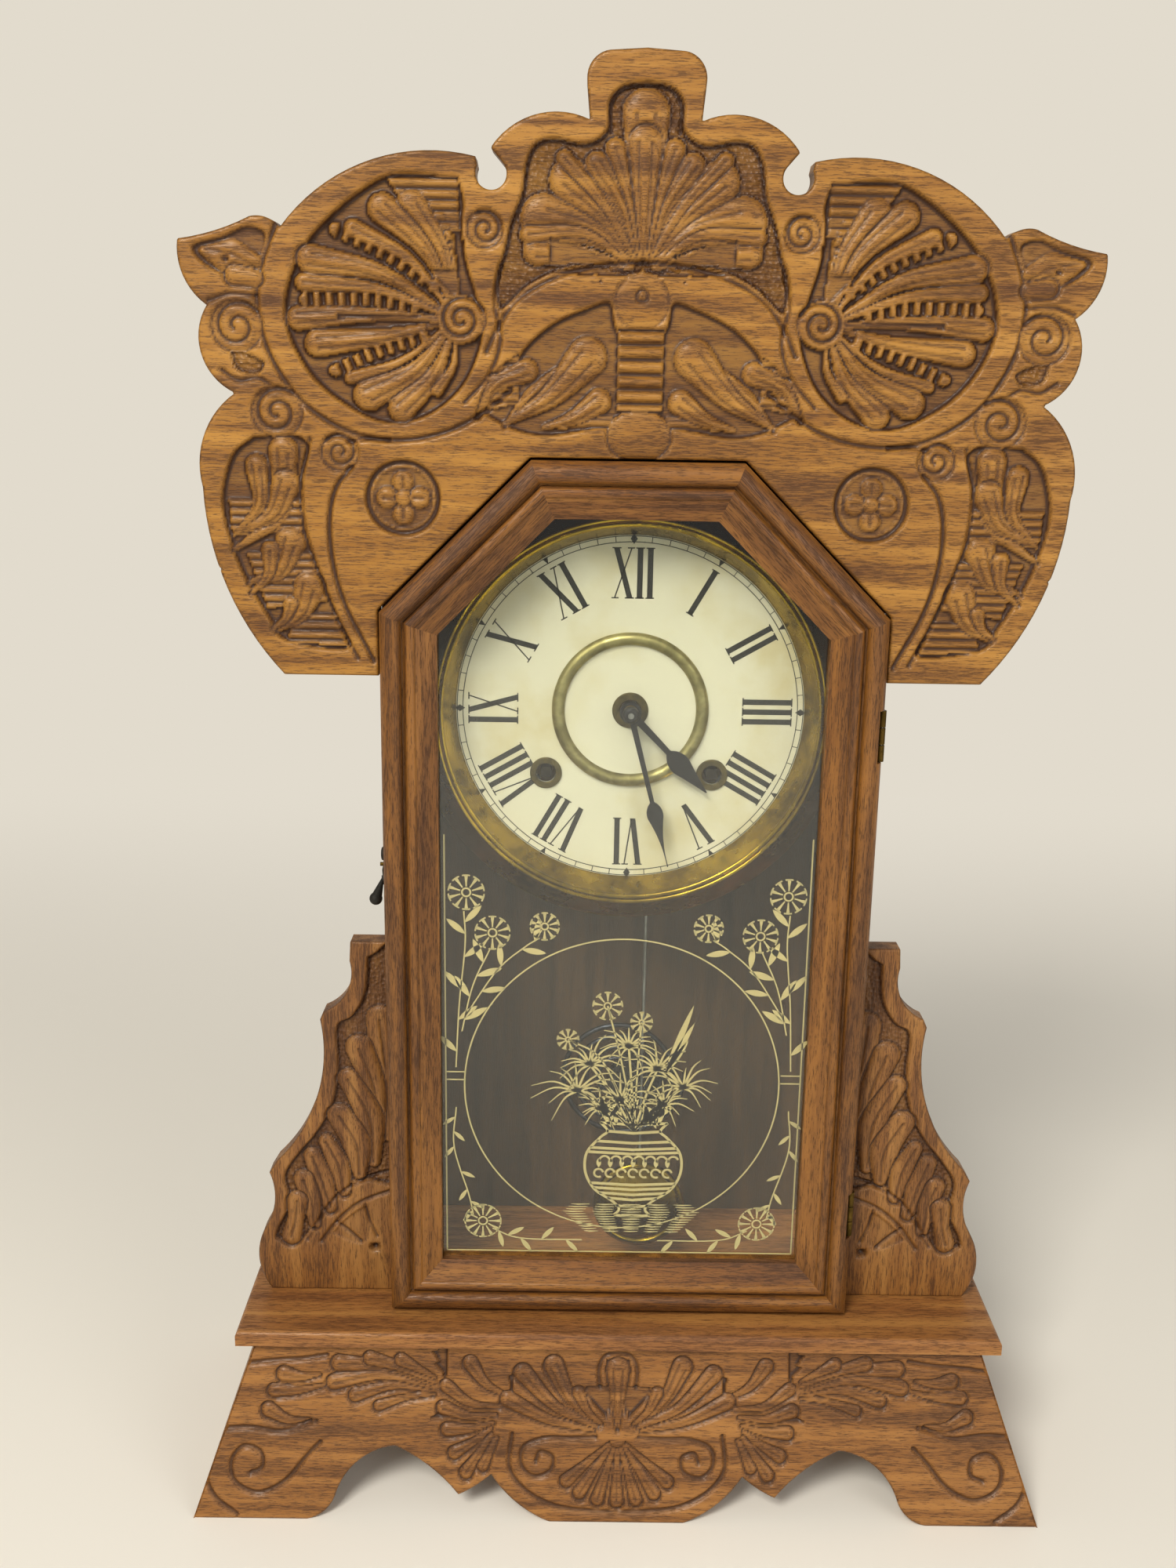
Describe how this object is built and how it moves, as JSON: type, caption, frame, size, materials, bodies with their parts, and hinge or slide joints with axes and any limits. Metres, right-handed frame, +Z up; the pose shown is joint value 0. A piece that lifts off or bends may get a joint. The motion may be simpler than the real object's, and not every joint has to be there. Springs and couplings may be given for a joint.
{
  "type": "gingerbread clock",
  "caption": "Carved oak shelf clock with a shaped crest, side wings, a glazed octagonal-topped door, a round dial, a working wheel train and a pendulum.",
  "frame": {"origin": "on the floor, under the middle of the clock's width and depth", "axes": "X to the clock's left-hand side as it faces you, that is to the viewer's right; Y from front to back; Z up"},
  "size_m": [0.352, 0.127, 0.572],
  "materials": {
    "oak_crest": "varnished",
    "oak_upright": "varnished",
    "oak_case": "varnished",
    "oak_base": "varnished",
    "oak_door": "varnished",
    "softwood": "raw",
    "pane": "clear with gilt stencil",
    "stamped_brass": "polished",
    "hinge_brass": "aged",
    "wheel_brass": "satin",
    "bright_steel": "satin",
    "spring_steel": "blued",
    "black_iron": "black",
    "blued_steel": "black",
    "tin_plate": "dull",
    "dial_paper": "matt"
  },
  "bodies": {
    "root": {"crest_board": "oak_crest", "case_side_left": "oak_case", "case_side_right": "oak_case", "case_top": "oak_case", "back_board": "softwood", "shelf_board": "oak_base", "apron_front": "oak_base", "base_side_left": "oak_base", "base_side_right": "oak_base", "glue_blocks": "softwood", "wing_left": "oak_upright", "wing_right": "oak_upright", "hinge_case_leaves": "hinge_brass", "hinge_pins": "bright_steel", "latch_screw": "black_iron", "dial_cleats": "softwood", "dial_pan": "tin_plate", "dial_paper": "dial_paper", "dial_grommets": "stamped_brass", "dial_inner_ring": "stamped_brass", "bezel_ring": "stamped_brass", "front_plate": "wheel_brass", "back_plate": "wheel_brass", "plate_pillars": "bright_steel", "movement_blocks": "softwood", "mainsprings": "spring_steel", "minute_post": "bright_steel", "suspension_stud": "bright_steel", "gong_coil": "spring_steel", "gong_post": "black_iron"},
    "door": {"door_stile_left": "oak_door", "door_stile_right": "oak_door", "door_rail_top": "oak_door", "door_rail_bottom": "oak_door", "door_diagonal_left": "oak_door", "door_diagonal_right": "oak_door", "door_glass": "pane", "glass_beads": "softwood", "hinge_door_leaves": "hinge_brass", "latch_catch": "hinge_brass"},
    "latch": {"latch_hook": "black_iron"},
    "minute": {"centre_arbor": "bright_steel", "minute_hand": "blued_steel", "hand_nut": "blued_steel"},
    "motion": {"minute_wheel": "wheel_brass"},
    "hour": {"hour_wheel": "wheel_brass", "hour_hand": "blued_steel"},
    "escape": {"escape_wheel": "wheel_brass"},
    "third": {"third_wheel": "wheel_brass"},
    "second": {"second_wheel": "wheel_brass"},
    "centre": {"centre_wheel": "wheel_brass"},
    "time_great": {"time_great_wheel": "wheel_brass"},
    "time_winding": {"time_winding_arbor": "bright_steel"},
    "strike_great": {"strike_great_wheel": "wheel_brass"},
    "strike_winding": {"strike_winding_arbor": "bright_steel"},
    "verge": {"verge": "bright_steel"},
    "pendulum": {"pendulum_rod": "bright_steel", "pendulum_bob": "wheel_brass"}
  },
  "joints": [
    {"name": "door_hinge", "type": "hinge", "parent": "root", "child": "door", "pos_m": [0.096, -0.0281, 0.227], "axis": [0, 0, 1], "range_deg": [0, 105]},
    {"name": "latch_pivot", "type": "hinge", "parent": "root", "child": "latch", "pos_m": [-0.097, -0.0065, 0.273], "axis": [-1, 0, 0], "range_deg": [0, 22]},
    {"name": "minute_hand_turn", "type": "hinge", "parent": "root", "child": "minute", "pos_m": [0, -0.0018, 0.3332], "axis": [0, 1, 0], "continuous": true},
    {"name": "motion_wheel_turn", "type": "hinge", "parent": "root", "child": "motion", "pos_m": [-0.01018, 0.0152, 0.32302], "axis": [0, 1, 0], "continuous": true},
    {"name": "hour_hand_turn", "type": "hinge", "parent": "root", "child": "hour", "pos_m": [0, -0.0018, 0.3332], "axis": [0, 1, 0], "continuous": true},
    {"name": "escape_turn", "type": "hinge", "parent": "root", "child": "escape", "pos_m": [0.009, 0.0152, 0.3625], "axis": [0, 1, 0], "continuous": true},
    {"name": "third_turn", "type": "hinge", "parent": "root", "child": "third", "pos_m": [0.01612, 0.0152, 0.3493], "axis": [0, 1, 0], "continuous": true},
    {"name": "second_turn", "type": "hinge", "parent": "root", "child": "second", "pos_m": [0.01989, 0.0152, 0.3317], "axis": [0, 1, 0], "continuous": true},
    {"name": "centre_wheel_turn", "type": "hinge", "parent": "root", "child": "centre", "pos_m": [0, 0.0152, 0.3332], "axis": [0, 1, 0], "continuous": true},
    {"name": "time_great_turn", "type": "hinge", "parent": "root", "child": "time_great", "pos_m": [0.0335, 0.0152, 0.307], "axis": [0, 1, 0], "continuous": true},
    {"name": "time_winding_turn", "type": "hinge", "parent": "time_great", "child": "time_winding", "pos_m": [0.0335, 0.0152, 0.307], "axis": [0, 1, 0], "continuous": true},
    {"name": "strike_great_turn", "type": "hinge", "parent": "root", "child": "strike_great", "pos_m": [-0.0335, 0.0152, 0.307], "axis": [0, 1, 0], "continuous": true},
    {"name": "strike_winding_turn", "type": "hinge", "parent": "strike_great", "child": "strike_winding", "pos_m": [-0.0335, 0.0152, 0.307], "axis": [0, 1, 0], "continuous": true},
    {"name": "pendulum_swing", "type": "hinge", "parent": "root", "child": "pendulum", "pos_m": [0.009, 0.0082, 0.38], "axis": [0, 1, 0], "range_deg": [-3, 3]},
    {"name": "verge_rock", "type": "hinge", "parent": "root", "child": "verge", "pos_m": [0.009, 0.0152, 0.38], "axis": [0, 1, 0], "range_deg": [-3, 3]}
  ],
  "couplings": [
    {"joint": "motion_wheel_turn", "follows": "minute_hand_turn", "ratio": -0.33333},
    {"joint": "hour_hand_turn", "follows": "minute_hand_turn", "ratio": 0.083333},
    {"joint": "third_turn", "follows": "escape_turn", "ratio": -0.11111},
    {"joint": "second_turn", "follows": "escape_turn", "ratio": 0.012346},
    {"joint": "centre_wheel_turn", "follows": "escape_turn", "ratio": -0.012346},
    {"joint": "time_great_turn", "follows": "escape_turn", "ratio": -0.0010288},
    {"joint": "verge_rock", "follows": "pendulum_swing", "ratio": 1}
  ]
}
